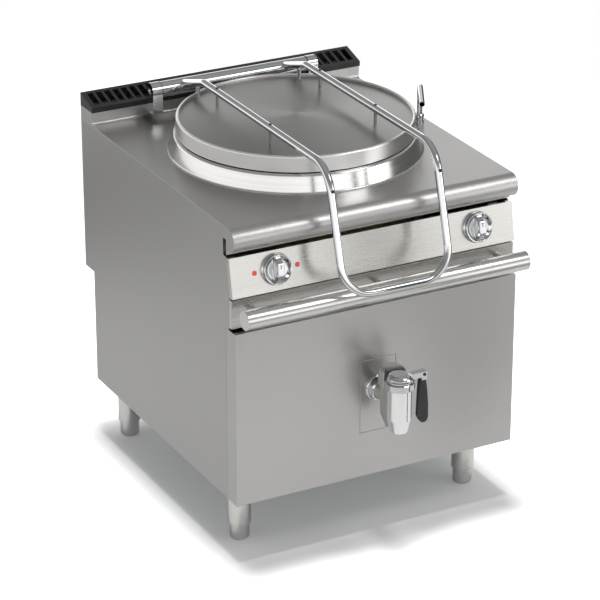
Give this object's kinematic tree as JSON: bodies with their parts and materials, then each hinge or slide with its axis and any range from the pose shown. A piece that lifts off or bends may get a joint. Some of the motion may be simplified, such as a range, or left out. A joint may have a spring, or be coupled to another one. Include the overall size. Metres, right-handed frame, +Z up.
{
  "type": "boiling pan",
  "caption": "Free-standing electric boiling pan: steel cabinet on feet, round pan with hinged lid and tube handle, swivel spout, controls, grab rail and drain valve.",
  "frame": {"origin": "on the floor at the middle of the object's footprint, from the drain valve's front to the rear face", "axes": "+X to the right seen from the front, +Y to the rear, +Z up"},
  "size_m": [0.8, 1.048, 1.0396],
  "materials": {
    "satin_steel": "satin brushed",
    "bright_steel": "fine brushed",
    "chrome": "polished",
    "galvanised": "galvanised sheet",
    "black_enamel": "black enamelled cast iron",
    "black_plastic": "moulded",
    "red_lens": "clear red lens",
    "lagging": "mineral fibre",
    "brass": "copper and brass plumbing",
    "ceramic": "glazed ceramic"
  },
  "bodies": {
    "cabinet": {"worktop": "satin_steel", "pan_collar": "bright_steel", "side_panel_left": "satin_steel", "side_panel_right": "satin_steel", "front_panel": "satin_steel", "control_panel": "bright_steel", "rail_strip": "bright_steel", "rear_upper_panel": "satin_steel", "rear_lower_panel": "satin_steel", "bottom_tray": "galvanised", "base_frame": "galvanised", "grab_rail": "chrome", "rail_end_caps": "chrome", "rail_spacers": "chrome", "pan_vessel": "bright_steel", "pan_insulation": "lagging", "heating_elements": "galvanised", "element_clamp_plate": "galvanised", "drain_pipe": "bright_steel", "drain_strainer": "bright_steel", "valve_plate": "satin_steel", "valve_rosette": "chrome", "valve_nut": "chrome", "valve_body": "bright_steel", "valve_gland_ring": "chrome", "flue_box": "satin_steel", "flue_grilles": "black_enamel", "hinge_brackets": "bright_steel", "hinge_caps": "chrome", "hinge_shaft": "bright_steel", "heat_switch": "black_plastic", "water_tap": "brass", "pilot_lamps": "red_lens", "spout_base": "chrome", "water_pipe": "brass", "water_inlet": "brass", "foot_sleeves": "satin_steel", "terminal_block": "ceramic", "contactor": "black_plastic", "cable_gland": "black_plastic"},
    "lid": {"hinge_tube": "chrome", "hinge_bushes": "black_plastic", "lid_shell": "bright_steel", "lid_liner": "bright_steel", "lid_handle": "chrome", "handle_studs": "chrome", "handle_screws": "black_enamel"},
    "heat_control": {"heat_knob": "chrome", "heat_spindle": "galvanised"},
    "water_control": {"water_knob": "chrome", "water_spindle": "galvanised"},
    "spout": {"water_spout": "chrome"},
    "valve_lever": {"valve_plug": "chrome", "valve_lever": "chrome", "valve_grip": "black_plastic", "lever_screw": "black_enamel"},
    "foot_front_left": {"foot_front_left": "satin_steel"},
    "foot_front_right": {"foot_front_right": "satin_steel"},
    "foot_rear_left": {"foot_rear_left": "satin_steel"},
    "foot_rear_right": {"foot_rear_right": "satin_steel"}
  },
  "joints": [
    {"name": "lid_hinge", "type": "hinge", "parent": "cabinet", "child": "lid", "pos_m": [0, 0.424, 0.979], "axis": [-1, 0, 0], "range_deg": [0, 85]},
    {"name": "heat_knob_turn", "type": "hinge", "parent": "cabinet", "child": "heat_control", "pos_m": [-0.276, -0.35379, 0.77504], "axis": [0, -0.9826, 0.1857], "range_deg": [-270, 0]},
    {"name": "water_knob_turn", "type": "hinge", "parent": "cabinet", "child": "water_control", "pos_m": [0.294, -0.35379, 0.77504], "axis": [0, -0.9826, 0.1857], "range_deg": [-90, 90]},
    {"name": "spout_swivel", "type": "hinge", "parent": "cabinet", "child": "spout", "pos_m": [0.373, 0.077, 0.92], "axis": [0, 0, -1], "range_deg": [-88, 92]},
    {"name": "valve_turn", "type": "hinge", "parent": "cabinet", "child": "valve_lever", "pos_m": [0, -0.486, 0.403], "axis": [0, 0, -1], "range_deg": [0, 90]},
    {"name": "foot_front_left_height", "type": "slide", "parent": "cabinet", "child": "foot_front_left", "axis": [0, 0, -1], "range_m": [-0.015, 0.02]},
    {"name": "foot_front_right_height", "type": "slide", "parent": "cabinet", "child": "foot_front_right", "axis": [0, 0, -1], "range_m": [-0.015, 0.02]},
    {"name": "foot_rear_left_height", "type": "slide", "parent": "cabinet", "child": "foot_rear_left", "axis": [0, 0, -1], "range_m": [-0.015, 0.02]},
    {"name": "foot_rear_right_height", "type": "slide", "parent": "cabinet", "child": "foot_rear_right", "axis": [0, 0, -1], "range_m": [-0.015, 0.02]}
  ]
}
